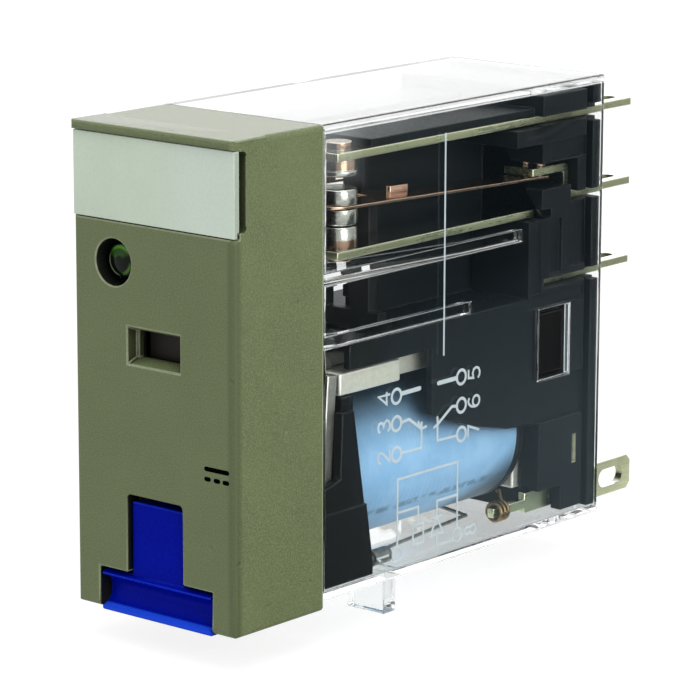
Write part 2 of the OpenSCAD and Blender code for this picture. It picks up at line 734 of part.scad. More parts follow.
// Copper strip with rounded front, side tab over the card and root rivets
module moving_spring() {
  x0 = pole_x - spring_w / 2;
  x1 = pole_x + spring_w / 2;
  reach = (spring_run + 0.4) / cos(spring_rise);
  color([0.8, 0.5, 0.36]) {
    difference() {
      translate([0, spring_y, root_z])
        rotate([-spring_rise, 0, 0]) {
          slab(x0, x1, -reach, 0.4, -spring_t / 2, spring_t / 2);
          rod_z(pole_x, -reach, -spring_t / 2, spring_t / 2, spring_w / 2, round_fn);
          slab(1.15, x0 + 0.1, -card_run - 0.8, -card_run + 0.8, -spring_t / 2, spring_t / 2);
          slab(x0, x0 + 0.3, -card_run + 0.9, -card_run + 2.6, -spring_t / 2, 0.5);
        }
      rod_z(pole_x, contact_y, spring_mid - 1, spring_mid + 1, 0.62);
    }
    for (x = [pole_x - 0.55, pole_x + 0.55]) {
      rod_z(x, spring_y, root_z, com_z0 + blade_t + 0.1, 0.26);
      rod_z(x, spring_y, com_z0 + blade_t + 0.03, com_z0 + blade_t + 0.2, 0.42);
    }
  }
}

// Head of a contact with a softened rim, face at z1
module contact_head(z0, z1) {
  r = contact_d / 2;
  up = z1 > z0 ? 1 : -1;
  translate([pole_x, contact_y, z0])
    mirror([0, 0, up < 0 ? 1 : 0])
      rotate_extrude($fn = round_fn)
        polygon([
          [0, 0], [r, 0], [r, abs(z1 - z0) - 0.16], [r - 0.05, abs(z1 - z0) - 0.06],
          [r - 0.16, abs(z1 - z0)], [0, abs(z1 - z0)]
        ]);
}

// Double-headed contact riveted through the strip
module moving_contact() {
  color([0.84, 0.84, 0.82]) {
    contact_head(gap_low - head_h, gap_low);
    contact_head(head_low + head_h, head_low);
    rod_z(pole_x, contact_y, head_low + 0.5, gap_low - 0.5, 0.6);
  }
}

// Upper fixed contact rivet: silver face, copper neck and tail
module no_contact() {
  color([0.84, 0.82, 0.78]) {
    contact_head(gap_top + 0.36, gap_top);
    rod_z(pole_x, contact_y, gap_top + 0.3, upper_face - 0.005, contact_d / 2 - 0.1, round_fn);
    rod_z(pole_x, contact_y, gap_top + 0.4, upper_z + half_t + 0.3, 0.55);
    rod_z(pole_x, contact_y, upper_z + half_t + 0.005, upper_z + half_t + 0.5, 0.8);
  }
}

// Lower fixed contact rivet
module nc_contact() {
  color([0.84, 0.78, 0.74]) {
    contact_head(low_bar_z1 + 0.005, fixed_low_top);
    rod_z(pole_x, contact_y, low_bar_z0 - 0.2, fixed_low_top - 0.4, 0.55);
    rod_z(pole_x, contact_y, low_bar_z0 - 0.28, low_bar_z0 - 0.005, 0.8);
  }
}

// Cut for the tip of a flat blade: two slanted corners and a long hole
module blade_tip_cuts(z) {
  for (side = [-1, 1])
    translate([pole_x + side * blade_w / 2, lead_y, z])
      rotate([0, 0, 45])
        cube([0.6, 0.6, 2], center = true);
  slot_r = 0.5;
  slab(pole_x - slot_r, pole_x + slot_r, lead_y - 3.2, lead_y - 1.4, z - 1, z + 1);
  for (y = [lead_y - 3.2, lead_y - 1.4])
    rod_z(pole_x, y, z - 1, z + 1, slot_r);
}

// Upper terminal: one straight bar from contact to blade tip
module no_terminal() {
  color([0.86, 0.82, 0.62])
    difference() {
      slab(blade_x0, blade_x1, bar_front, lead_y, upper_z - half_t, upper_z + half_t);
      rod_z(pole_x, contact_y, upper_z - 1, upper_z + 1, 0.57);
      blade_tip_cuts(upper_z);
    }
}

// Middle terminal: spring seat, joggle and blade
module com_terminal() {
  color([0.86, 0.82, 0.62])
    difference() {
      union() {
        slab(blade_x0, blade_x1, block_y0 - 0.1, knee_y, com_z0, com_z0 + blade_t);
        slab(blade_x0, blade_x1, knee_y, knee_y + blade_t, middle_z, com_z0);
        intersection() {
          rod_x(blade_x0, blade_x1, knee_y, com_z0, blade_t);
          slab(0, 9, knee_y - 0.1, knee_y + 1, com_z0 - 0.1, com_z0 + 1);
        }
        slab(blade_x0, blade_x1, knee_y, lead_y, middle_z - half_t, middle_z + half_t);
      }
      for (x = [pole_x - 0.55, pole_x + 0.55])
        rod_z(x, spring_y, com_z0 - 1, com_z0 + 1, 0.31);
      blade_tip_cuts(middle_z);
    }
}

// Lower terminal: contact bar, hidden riser and blade
module nc_terminal() {
  color([0.86, 0.82, 0.62])
    difference() {
      union() {
        run_x(blade_x0, blade_x1)
          polygon([
            [bar_front, low_bar_z0], [riser_y + blade_t, low_bar_z0], [riser_y + 0.2, low_bar_z1],
            [bar_front, low_bar_z1]
          ]);
        slab(blade_x0, riser_x1, riser_y, riser_y + blade_t, lower_z, low_bar_z0 + 0.1);
        slab(blade_x0, blade_x1, riser_y, lead_y, lower_z - half_t, lower_z + half_t);
      }
      rod_z(pole_x, contact_y, low_bar_z0 - 1, low_bar_z1 + 1, 0.57);
      blade_tip_cuts(lower_z);
    }
}

// Coil blade on edge with a long hole, and its post inside
module coil_terminal() {
  z0 = coil_blade_z - coil_blade_h / 2;
  z1 = coil_blade_z + coil_blade_h / 2;
  x0 = coil_x - blade_t / 2;
  x1 = coil_x + blade_t / 2;
  color([0.84, 0.81, 0.62])
    difference() {
      union() {
        slab(x0, x1, body_d + hair, coil_lead_y, z0, z1);
        slab(x0, x1, post_y + 3.2, body_d + 0.1, post_z - 0.6, post_z + 0.7);
        slab(x0, x1, post_y, post_y + 3.3, post_z - 0.3, post_z + 0.3);
      }
      for (z = [z0, z1])
        translate([coil_x, coil_lead_y, z])
          rotate([45, 0, 0])
            cube([2, 0.55, 0.55], center = true);
      slab(x0 - cut, x1 + cut, coil_lead_y - 2.9, coil_lead_y - 1.5, coil_blade_z - 0.6,
        coil_blade_z + 0.6);
      for (y = [coil_lead_y - 2.9, coil_lead_y - 1.5])
        rod_x(x0 - cut, x1 + cut, y, coil_blade_z, 0.6);
    }
}

// Winding end wrapped around its post
module coil_lead() {
  color([0.72, 0.42, 0.2]) {
    for (i = [0 : 2])
      translate([coil_x, post_y + 0.4 + 0.36 * i, post_z])
        rotate([90, 0, 0])
          rotate_extrude($fn = small_fn)
            translate([0.56, 0])
              circle(r = wire_r, $fn = 16);
    rod_y(coil_x + 0.56, post_y + 0.4, post_y + 1.12, post_z, wire_r * 0.9, 16);
    wire([
      [coil_x, post_y + 1.12, post_z + 0.56], [coil_x - 0.5, post_y + 1.5, post_z + 1.1],
      [coil_x - 0.95, post_y + 1.9, post_z + 0.95]
    ], wire_r);
  }
}

place() {
  cap_housing();
  marker_plate();
  test_lever();
  led_board();
  led_lamp();
  resistor();
  diode();
  indicator_flag();
  case_cover();
  base();
  bobbin();
  coil_winding();
  coil_tape();
  coil_core();
  yoke();
  hinge_spring();
  armature();
  card();
  pole(1) moving_spring();  // moving_spring_1
  pole(-1) moving_spring();  // moving_spring_2
  pole(1) moving_contact();  // moving_contact_1
  pole(-1) moving_contact();  // moving_contact_2
  pole(1) no_terminal();  // no_terminal_1
  pole(-1) no_terminal();  // no_terminal_2
  pole(1) no_contact();  // no_contact_1
  pole(-1) no_contact();  // no_contact_2
  pole(1) com_terminal();  // com_terminal_1
  pole(-1) com_terminal();  // com_terminal_2
  pole(1) nc_terminal();  // nc_terminal_1
  pole(-1) nc_terminal();  // nc_terminal_2
  pole(1) nc_contact();  // nc_contact_1
  pole(-1) nc_contact();  // nc_contact_2
  pole(1) coil_terminal();  // coil_terminal_1
  pole(-1) coil_terminal();  // coil_terminal_2
  pole(1) coil_lead();  // coil_lead_1
  pole(-1) coil_lead();  // coil_lead_2
}
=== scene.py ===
import bpy
import bmesh
import json
import math
from mathutils import Matrix, Vector

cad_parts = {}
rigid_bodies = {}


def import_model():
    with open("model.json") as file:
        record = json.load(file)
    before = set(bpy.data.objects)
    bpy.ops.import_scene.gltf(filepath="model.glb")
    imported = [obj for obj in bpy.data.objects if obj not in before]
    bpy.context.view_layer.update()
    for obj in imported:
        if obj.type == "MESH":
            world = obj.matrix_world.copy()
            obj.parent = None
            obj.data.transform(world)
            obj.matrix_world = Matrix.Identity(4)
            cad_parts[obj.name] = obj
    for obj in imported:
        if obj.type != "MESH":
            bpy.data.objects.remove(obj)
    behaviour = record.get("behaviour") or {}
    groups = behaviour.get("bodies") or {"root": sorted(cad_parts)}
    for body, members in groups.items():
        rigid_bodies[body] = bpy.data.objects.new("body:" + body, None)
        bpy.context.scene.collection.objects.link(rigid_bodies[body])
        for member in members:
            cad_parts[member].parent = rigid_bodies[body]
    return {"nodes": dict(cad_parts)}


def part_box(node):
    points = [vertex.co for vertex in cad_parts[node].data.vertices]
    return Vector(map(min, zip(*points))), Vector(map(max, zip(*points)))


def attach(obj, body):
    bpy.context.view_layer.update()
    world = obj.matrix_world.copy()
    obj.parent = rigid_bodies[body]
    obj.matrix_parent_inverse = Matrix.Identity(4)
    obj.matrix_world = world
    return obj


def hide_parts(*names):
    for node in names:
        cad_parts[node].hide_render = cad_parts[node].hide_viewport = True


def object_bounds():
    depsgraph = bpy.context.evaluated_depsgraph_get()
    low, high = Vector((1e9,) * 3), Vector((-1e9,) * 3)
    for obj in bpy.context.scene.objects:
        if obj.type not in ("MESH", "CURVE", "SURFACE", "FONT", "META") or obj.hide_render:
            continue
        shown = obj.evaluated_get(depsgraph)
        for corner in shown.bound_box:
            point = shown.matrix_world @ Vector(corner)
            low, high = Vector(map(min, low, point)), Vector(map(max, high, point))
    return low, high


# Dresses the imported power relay: metres, same frame as the solids.
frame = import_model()
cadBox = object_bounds()
nodes = frame["nodes"]
mm = 0.001
# drawn places count in millimetres from the bottom of the cap face
capFace = Vector((0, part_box("marker_plate")[0].y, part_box("cap_housing")[0].z))
print("frame loaded:", len(nodes), "nodes")


def boxInMm(name):
    return [(corner - capFace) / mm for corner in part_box(name)]


# small shader helpers
def addNode(tree, kind, **values):
    node = tree.nodes.new(kind)
    for key, value in values.items():
        if key.startswith("in_"):
            node.inputs[key[3:]].default_value = value
        else:
            setattr(node, key, value)
    return node


def feed(tree, sockets, values):
    for socket, value in zip(sockets, values):
        if hasattr(value, "links"):
            tree.links.new(value, socket)
        else:
            socket.default_value = value


def math2(tree, operation, a, b=0.0, clamp=False):
    node = addNode(tree, "ShaderNodeMath", operation=operation, use_clamp=clamp)
    feed(tree, node.inputs, (a, b))
    return node.outputs[0]


def vector2(tree, operation, a, b=(0, 0, 0)):
    node = addNode(tree, "ShaderNodeVectorMath", operation=operation)
    feed(tree, node.inputs, (a, b))
    return node.outputs["Value" if operation in ("DOT_PRODUCT", "LENGTH") else "Vector"]


def mixColour(tree, mask, a, b, blend="MIX"):
    node = addNode(tree, "ShaderNodeMix", data_type="RGBA", blend_type=blend)
    sockets = [s for s in node.inputs if s.enabled]
    values = [v if hasattr(v, "links") or isinstance(v, (int, float)) else (*v, 1) for v in (mask, a, b)]
    feed(tree, sockets, values)
    return [s for s in node.outputs if s.enabled][0]


def stretch(tree, value, low, high, outLow=0.0, outHigh=1.0):
    node = addNode(tree, "ShaderNodeMapRange", clamp=True)
    tree.links.new(value, node.inputs["Value"])
    for name, number in (("From Min", low), ("From Max", high), ("To Min", outLow), ("To Max", outHigh)):
        node.inputs[name].default_value = number
    return node.outputs[0]


def softBorder(tree, nearest, soft):
    # rises from 0 to 1 over the border's width
    return math2(tree, "ADD", math2(tree, "DIVIDE", nearest, soft), 0.5, clamp=True)


def scaled(colour, level):
    return tuple(min(1.0, part * level) for part in colour)


def newGroup(name, inputs, outputs):
    tree = bpy.data.node_groups.new(name, "ShaderNodeTree")
    for label, kind, value in inputs:
        socket = tree.interface.new_socket(label, in_out="INPUT", socket_type="NodeSocket" + kind)
        if value is not None:
            socket.default_value = value
    for label, kind in outputs:
        tree.interface.new_socket(label, in_out="OUTPUT", socket_type="NodeSocket" + kind)
    return tree, tree.nodes.new("NodeGroupInput").outputs, tree.nodes.new("NodeGroupOutput").inputs


def useGroup(tree, group, **values):
    node = addNode(tree, "ShaderNodeGroup", node_tree=group)
    for key, value in values.items():
        feed(tree, [node.inputs[key]], [value])
    return node.outputs


def noiseOf(tree, vector, scale, detail=3.0, roughness=0.6):
    node = addNode(tree, "ShaderNodeTexNoise", in_Detail=detail, in_Roughness=roughness)
    tree.links.new(vector, node.inputs["Vector"])
    feed(tree, [node.inputs["Scale"]], [scale])
    return node.outputs["Fac"]


# shared effects, all in millimetres
def makeMouldGrain():
    # pitted skin of a spark-finished mould, slow clouds and a few small dents
    tree, given, out = newGroup(
        "mouldGrain",
        [("Vector", "Vector", None), ("Pitch", "Float", 6.0), ("Cloud", "Float", 0.26)],
        [("Height", "Float"), ("Tone", "Float"), ("Speck", "Float"), ("Dent", "Float")],
    )
    fine = noiseOf(tree, given["Vector"], given["Pitch"])
    pits = addNode(tree, "ShaderNodeTexVoronoi", feature="F1")
    feed(tree, [pits.inputs["Vector"], pits.inputs["Scale"]], [given["Vector"], given["Pitch"]])
    spots = addNode(tree, "ShaderNodeTexVoronoi", feature="F1", in_Scale=0.55)
    tree.links.new(given["Vector"], spots.inputs["Vector"])
    dent = stretch(tree, spots.outputs["Distance"], 0.05, 0.11, 1.0, 0.0)
    lot = math2(tree, "FRACT", math2(tree, "MULTIPLY", spots.outputs["Color"], 7.0))
    rare = stretch(tree, lot, 0.55, 0.6)
    clouds = noiseOf(tree, given["Vector"], given["Cloud"], 4.0, 0.55)
    height = math2(tree, "ADD", fine, math2(tree, "MULTIPLY", pits.outputs["Distance"], 0.35))
    tree.links.new(height, out["Height"])
    tree.links.new(stretch(tree, clouds, 0.32, 0.68), out["Tone"])
    tree.links.new(stretch(tree, fine, 0.42, 0.68), out["Speck"])
    tree.links.new(math2(tree, "MULTIPLY", dent, rare), out["Dent"])
    return tree


def makeRolledStreaks():
    # drawn lines of rolled sheet along one axis, with blotches
    tree, given, out = newGroup(
        "rolledStreaks",
        [("Vector", "Vector", None), ("Across", "Float", 9.0), ("Along", "Float", 0.3)],
        [("Height", "Float"), ("Tone", "Float")],
    )
    scale = addNode(tree, "ShaderNodeCombineXYZ")
    feed(tree, scale.inputs, (given["Across"], given["Along"], given["Across"]))
    streak = noiseOf(tree, vector2(tree, "MULTIPLY", given["Vector"], scale.outputs[0]), 1.0, 4.0)
    blotch = noiseOf(tree, given["Vector"], 0.5, 3.0)
    tree.links.new(streak, out["Height"])
    tree.links.new(stretch(tree, math2(tree, "ADD", streak, blotch), 0.72, 1.28), out["Tone"])
    return tree


def makeRecessShade():
    # darkens what lies deep between other surfaces
    tree, given, out = newGroup(
        "recessShade", [("Reach", "Float", 0.001), ("Depth", "Float", 0.5)], [("Shade", "Float")]
    )
    hollow = addNode(tree, "ShaderNodeAmbientOcclusion", samples=4)
    tree.links.new(given["Reach"], hollow.inputs["Distance"])
    openness = stretch(tree, hollow.outputs["AO"], 0.3, 0.95)
    lost = math2(tree, "MULTIPLY", math2(tree, "SUBTRACT", 1.0, openness), given["Depth"])
    tree.links.new(math2(tree, "SUBTRACT", 1.0, lost), out["Shade"])
    return tree


def makeZoneMask():
    # 1 inside a box, with a soft border
    tree, given, out = newGroup(
        "zoneMask",
        [("Vector", "Vector", None), ("Low", "Vector", (0, 0, 0)), ("High", "Vector", (1, 1, 1)),
         ("Soft", "Float", 0.1)],
        [("Mask", "Float")],
    )
    rise = vector2(tree, "SUBTRACT", given["Vector"], given["Low"])
    fall = vector2(tree, "SUBTRACT", given["High"], given["Vector"])
    axes = addNode(tree, "ShaderNodeSeparateXYZ")
    tree.links.new(vector2(tree, "MINIMUM", rise, fall), axes.inputs[0])
    nearest = math2(tree, "MINIMUM", axes.outputs[0], axes.outputs[1])
    nearest = math2(tree, "MINIMUM", nearest, axes.outputs[2])
    tree.links.new(softBorder(tree, nearest, given["Soft"]), out["Mask"])
    return tree


def makeRingMask():
    # 1 between two radii about an axis along Y, and how far the spot lies toward one side
    tree, given, out = newGroup(
        "ringMask",
        [("Vector", "Vector", None), ("Centre", "Vector", (0, 0, 0)), ("Toward", "Vector", (0, 0, 1)),
         ("Inner", "Float", 0.0), ("Outer", "Float", 1.0), ("Soft", "Float", 0.05)],
        [("Mask", "Float"), ("Side", "Float")],
    )
    flat = vector2(tree, "MULTIPLY", vector2(tree, "SUBTRACT", given["Vector"], given["Centre"]), (1, 0, 1))
    radius = vector2(tree, "LENGTH", flat)
    fromInner = math2(tree, "SUBTRACT", radius, given["Inner"])
    fromOuter = math2(tree, "SUBTRACT", given["Outer"], radius)
    nearest = math2(tree, "MINIMUM", fromInner, fromOuter)
    tree.links.new(softBorder(tree, nearest, given["Soft"]), out["Mask"])
    toward = vector2(tree, "DOT_PRODUCT", vector2(tree, "NORMALIZE", flat), given["Toward"])
    tree.links.new(toward, out["Side"])
    return tree


mouldGrain = makeMouldGrain()
rolledStreaks = makeRolledStreaks()
recessShade = makeRecessShade()
zoneMask = makeZoneMask()
ringMask = makeRingMask()
print("shared effects ready")


def newMaterial(name, **values):
    material = bpy.data.materials.new(name)
    material.use_nodes = True
    tree = material.node_tree
    shader = tree.nodes["Principled BSDF"]
    for key, value in values.items():
        shader.inputs[key.replace("_", " ")].default_value = value
    spot = addNode(tree, "ShaderNodeTexCoord").outputs["Object"]
    fromFace = vector2(tree, "SUBTRACT", spot, tuple(capFace))
    place = vector2(tree, "MULTIPLY", fromFace, (1 / mm, 1 / mm, 1 / mm))
    place.node.label = "place"
    return material, tree, shader, place


def placeOf(tree):
    return next(node for node in tree.nodes if node.label == "place").outputs[0]


def addBump(tree, shader, height, distance, strength=1.0):
    bump = addNode(tree, "ShaderNodeBump", in_Strength=strength, in_Distance=distance)
    tree.links.new(height, bump.inputs["Height"])
    tree.links.new(bump.outputs[0], shader.inputs["Normal"])


def paintZones(tree, place, colour, zones):
    # each zone: low corner, high corner, border, colour, and how much of it
    for low, high, soft, tint, share in zones:
        mask = useGroup(tree, zoneMask, Vector=place, Low=low, High=high, Soft=soft)["Mask"]
        colour = mixColour(tree, math2(tree, "MULTIPLY", mask, share), colour, tint)
    return colour


def shadeColour(tree, colour, reach, depth):
    shade = useGroup(tree, recessShade, Reach=reach * mm, Depth=depth)["Shade"]
    grey = addNode(tree, "ShaderNodeCombineColor")
    feed(tree, grey.inputs, (shade, shade, shade))
    return mixColour(tree, 1.0, colour, grey.outputs[0], "MULTIPLY")


paintedEdgeOf = {}


def addPaintedEdge(material, colour, share):
    # the same finish with a colour painted on its rounded edges in broken patches: a painted highlight where
    # paler, painted shade where darker
    rim = material.copy()
    rim.name = material.name + "Rim"
    tree = rim.node_tree
    socket = tree.nodes["Principled BSDF"].inputs["Base Color"]
    broken = stretch(tree, noiseOf(tree, placeOf(tree), 1.4, 5.0, 0.65), 0.3, 0.62, 0.45, 1.0)
    amount = math2(tree, "MULTIPLY", broken, share)
    tree.links.new(mixColour(tree, amount, socket.links[0].from_socket, colour), socket)
    paintedEdgeOf[material.name] = rim


# the paler edge colour passed in is painted on the rounded edges as a highlight
def plasticMaterial(name, colour, rim, roughness, pitch=6.0, depth=0.012, cloud=0.26, specular=0.5,
                    fleck=0.3, fleckLift=1.25, rimShare=0.7, dents=0.0, recess=1.0, recessDepth=0.5,
                    zones=()):
    material, tree, shader, place = newMaterial(name, Specular_IOR_Level=specular)
    grain = useGroup(tree, mouldGrain, Vector=place, Pitch=pitch, Cloud=cloud)
    base = mixColour(tree, grain["Tone"], scaled(colour, 0.92), scaled(colour, 1.06))
    flecks = math2(tree, "MULTIPLY", grain["Speck"], fleck)
    base = mixColour(tree, flecks, base, scaled(colour, fleckLift))
    base = paintZones(tree, place, base, zones)
    base = shadeColour(tree, base, recess, recessDepth)
    tree.links.new(base, shader.inputs["Base Color"])
    rough = stretch(tree, grain["Speck"], 0.0, 1.0, roughness - 0.05, roughness + 0.07)
    tree.links.new(rough, shader.inputs["Roughness"])
    height = math2(tree, "SUBTRACT", grain["Height"], math2(tree, "MULTIPLY", grain["Dent"], dents))
    addBump(tree, shader, height, depth * mm, 0.6)
    addPaintedEdge(material, rim, rimShare)
    return material


# the paler edge colour passed in is painted on the rounded edges as a highlight
def metalMaterial(name, colour, dark, roughness, across=9.0, along=0.3, depth=0.004,
                  recess=0.8, recessDepth=0.6, rim=None, zones=(), faceHighlight=None):
    material, tree, shader, place = newMaterial(name, Metallic=1.0)
    streaks = useGroup(tree, rolledStreaks, Vector=place, Across=across, Along=along)
    base = mixColour(tree, streaks["Tone"], dark, colour)
    base = paintZones(tree, place, base, zones)
    rough = stretch(tree, streaks["Tone"], 0.0, 1.0, roughness + 0.12, roughness)
    if faceHighlight:
        # painted highlight: a paler, smoother skin on the faces turned up and down
        facing = addNode(tree, "ShaderNodeNewGeometry").outputs["True Normal"]
        upright = math2(tree, "ABSOLUTE", vector2(tree, "DOT_PRODUCT", facing, (0, 0, 1)))
        upDownFaces = stretch(tree, upright, 0.75, 0.9)
        skin = mixColour(tree, streaks["Tone"], scaled(faceHighlight, 0.94), faceHighlight)
        base = mixColour(tree, upDownFaces, base, skin)
        polish = math2(tree, "SUBTRACT", 1.0, math2(tree, "MULTIPLY", upDownFaces, 0.6))
        rough = math2(tree, "MULTIPLY", rough, polish)
    base = shadeColour(tree, base, recess, recessDepth)
    tree.links.new(base, shader.inputs["Base Color"])
    tree.links.new(rough, shader.inputs["Roughness"])
    addBump(tree, shader, streaks["Height"], depth * mm, 0.5)
    addPaintedEdge(material, rim or scaled(colour, 1.12), 0.85)
    return material


# cap with its lamp hole
lampLow, lampHigh = boxInMm("led_lamp")
lampSpot = ((lampLow.x + lampHigh.x) / 2, 0, (lampLow.z + lampHigh.z) / 2)
capBox = boxInMm("cap_housing")
# painted shade for the walls of the lever cut-out
slotShade = (0.005, 0.006, 0.003)
capLook = {
    "colour": (0.128, 0.158, 0.072), "rim": (0.46, 0.50, 0.34), "rimShare": 0.5, "roughness": 0.5,
    "specular": 0.3, "pitch": 11.0, "depth": 0.035, "fleck": 0.85, "fleckLift": 1.55, "dents": 2.5,
    "recess": 1.2, "recessDepth": 0.75,
    "zones": [  # low corner, high corner, border, colour, share
        ((-4.6, 0.1, -1), (4.6, 4, 2.6), 0.06, slotShade, 1.0),  # painted shade on the walls of the lever cut-out
        ((-2.35, 0.1, 1), (2.35, 4, 7.5), 0.06, slotShade, 1.0),
        # painted shade along the front corner, then painted shade on the end wall of the window
        ((capBox[1].x - 0.5, -0.1, 0), (9, 0.5, 23.2), 0.35, (0.085, 0.105, 0.045), 0.8),
        ((-2.3, 0.07, 15), (-1.8, 3, 17.4), 0.08, (0.045, 0.05, 0.02), 0.85),
    ],
}
lampHole = {"reach": 1.52, "dark": (0.004, 0.006, 0.003), "skin": 0.07}
capTop = {"zone": ((-9, -1, capBox[1].z - 0.25), (9, 9, 40)), "smoother": 0.28}


def makeCapOlive():
    material = plasticMaterial("capOlive", **capLook)
    for coat in (material, paintedEdgeOf["capOlive"]):
        tree = coat.node_tree
        shader = tree.nodes["Principled BSDF"]
        place = placeOf(tree)
        bore = useGroup(
            tree, ringMask, Vector=place, Centre=lampSpot, Inner=-1.0, Outer=lampHole["reach"], Soft=0.02
        )["Mask"]
        deep = useGroup(
            tree, zoneMask, Vector=place, Low=(-9, lampHole["skin"], 0), High=(0, 4, 30), Soft=0.04
        )["Mask"]
        hole = math2(tree, "MULTIPLY", bore, deep)
        base = shader.inputs["Base Color"].links[0].from_socket
        tree.links.new(mixColour(tree, hole, base, lampHole["dark"]), shader.inputs["Base Color"])
        low, high = capTop["zone"]
        top = useGroup(tree, zoneMask, Vector=place, Low=low, High=high, Soft=0.2)["Mask"]
        rough = shader.inputs["Roughness"].links[0].from_socket
        change = math2(tree, "MULTIPLY", top, capTop["smoother"])
        tree.links.new(math2(tree, "SUBTRACT", rough, change), shader.inputs["Roughness"])
    return material


capOlive = makeCapOlive()

# marker plate, lever, flag and board
plateHigh = boxInMm("marker_plate")[1]
plateLook = {
    "colour": (0.66, 0.77, 0.63), "rim": (0.84, 0.92, 0.82), "rimShare": 0.35, "roughness": 0.3,
    "specular": 0.4, "pitch": 3.0, "depth": 0.0006, "cloud": 0.12, "fleck": 0.0, "recess": 0.5,
    "recessDepth": 0.3,
    "zones": [
        ((plateHigh.x - 4, -1, 0), (9, 9, 40), 5.0, (0.70, 0.81, 0.72), 1.0),  # painted light: paler and cooler toward the right
        ((plateHigh.x - 0.04, -1, 0), (9, 9, 40), 0.03, (0.40, 0.47, 0.38), 1.0),  # painted shade on the end face
    ],
}
plateWhite = plasticMaterial("plateWhite", **plateLook)
lipHeight = 0.62
lipTop = boxInMm("test_lever")[0].z + lipHeight
leverLook = {
    "colour": (0.0, 0.006, 0.36), "rim": (0.01, 0.045, 0.75), "roughness": 0.3, "specular": 0.03,
    "pitch": 4.0, "depth": 0.003, "recess": 0.8, "recessDepth": 0.7,
    "zones": [((-9, -1, -1), (9, 0.35, lipTop), 0.12, (0.02, 0.10, 0.9), 0.85)],  # light on the foot's lip
}
leverBlue = plasticMaterial("leverBlue", **leverLook)
flagLook = {"colour": (0.012, 0.009, 0.007), "rim": (0.02, 0.015, 0.01), "roughness": 0.5, "specular": 0.2}
flagBrown = plasticMaterial("flagBrown", **flagLook)
boardLook = {"colour": (0.02, 0.085, 0.03), "rim": (0.16, 0.14, 0.07), "roughness": 0.35}
boardGreen = plasticMaterial("boardGreen", **boardLook)
chipLook = {"colour": (0.012, 0.012, 0.014), "rim": (0.08, 0.08, 0.08), "roughness": 0.3}
chipDark = plasticMaterial("chipDark", **chipLook)

# black mouldings
baseRear = boxInMm("base")[1].y
tongueSpot = {"low": (4.8, baseRear - 6.4, 10.3), "high": (9, baseRear - 3.25, 14.85)}
slitSpot = {"low": (4.9, baseRear - 2.27, 4.15), "high": (9, baseRear - 1.88, 6.05)}
baseLook = {
    "colour": (0.0065, 0.0085, 0.0095), "rim": (0.02, 0.024, 0.026), "roughness": 0.4, "specular": 0.12,
    "pitch": 5.0, "depth": 0.01,
    "zones": [  # the inside of the slit painted pale, and painted shade on the snap tongue behind the side window
        (slitSpot["low"], slitSpot["high"], 0.02, (0.72, 0.72, 0.50), 1.0),
        (tongueSpot["low"], tongueSpot["high"], 0.05, (0.0006, 0.0006, 0.0006), 1.0),
    ],
}
blackMould = plasticMaterial("blackMould", **baseLook)
bobbinLook = {
    "colour": (0.006, 0.0075, 0.0085), "rim": (0.02, 0.024, 0.026), "roughness": 0.36, "specular": 0.12,
    "pitch": 4.0, "depth": 0.006,
}
bobbinBlack = plasticMaterial("bobbinBlack", **bobbinLook)
cardLook = {"colour": (0.008, 0.009, 0.01), "rim": (0.03, 0.03, 0.03), "roughness": 0.4, "specular": 0.15}
cardBlack = plasticMaterial("cardBlack", **cardLook)

# metals
bodyRear = boxInMm("case_cover")[1].y
brassLook = {
    "colour": (0.60, 0.63, 0.41), "dark": (0.42, 0.45, 0.27), "rim": (0.95, 0.97, 0.76), "roughness": 0.24,
    # paler skin painted as a highlight on the faces turned up and down
    "faceHighlight": (0.95, 0.96, 0.90),
    "zones": [((-9, 0, 0), (9, bodyRear - 4, 40), 1.0, (0.86, 0.90, 0.55), 0.75)],  # painted light: the bars inside the case paler and brighter
}
terminalBrass = metalMaterial("terminalBrass", **brassLook)
springLook = {"colour": (0.88, 0.62, 0.46), "dark": (0.70, 0.44, 0.31), "roughness": 0.12}
springCopper = metalMaterial("springCopper", **springLook)
yokeLook = {
    "colour": (0.95, 0.97, 0.86), "dark": (0.80, 0.81, 0.70), "roughness": 0.52, "across": 4.0,
    "along": 2.5, "depth": 0.03, "recessDepth": 0.4,
}
yokeSteel = metalMaterial("yokeSteel", **yokeLook)
armatureLook = {
    "colour": (0.60, 0.61, 0.55), "dark": (0.44, 0.45, 0.40), "roughness": 0.4, "across": 2.2,
    "along": 0.9, "depth": 0.01,
}
armatureSteel = metalMaterial("armatureSteel", **armatureLook)
coreLook = {"colour": (0.62, 0.62, 0.60), "dark": (0.42, 0.42, 0.41), "roughness": 0.35}
coreIron = metalMaterial("coreIron", **coreLook)
wireLook = {
    "colour": (0.40, 0.27, 0.12), "dark": (0.22, 0.15, 0.07), "roughness": 0.3, "across": 7.0, "along": 7.0,
}
wireCopper = metalMaterial("wireCopper", **wireLook)
diodeLook = {
    "colour": (0.42, 0.42, 0.38), "dark": (0.16, 0.16, 0.13), "roughness": 0.35, "across": 3.0, "along": 3.0,
}
wireGrey = metalMaterial("wireGrey", **diodeLook)
silverLook = {
    "colour": (0.62, 0.64, 0.58), "dark": (0.34, 0.35, 0.31), "rim": (0.8, 0.8, 0.75), "roughness": 0.16,
    "across": 2.6, "along": 2.6,
}
copperTint = (0.36, 0.22, 0.14)


def makeContact(name, node, bands):
    # silver head, copper shank between the given heights over the node's lowest point
    bottom = boxInMm(node)[0].z
    zones = [((-9, 0, bottom + low), (9, 40, bottom + high), 0.06, copperTint, 0.9) for low, high in bands]
    return metalMaterial(name, zones=zones, **silverLook)


noContact = makeContact("noContact", "no_contact_1", [(0.37, 9.0)])
movingContact = makeContact("movingContact", "moving_contact_1", [(0.93, 1.22)])
ncContact = makeContact("ncContact", "nc_contact_1", [(-1.0, 1.35)])

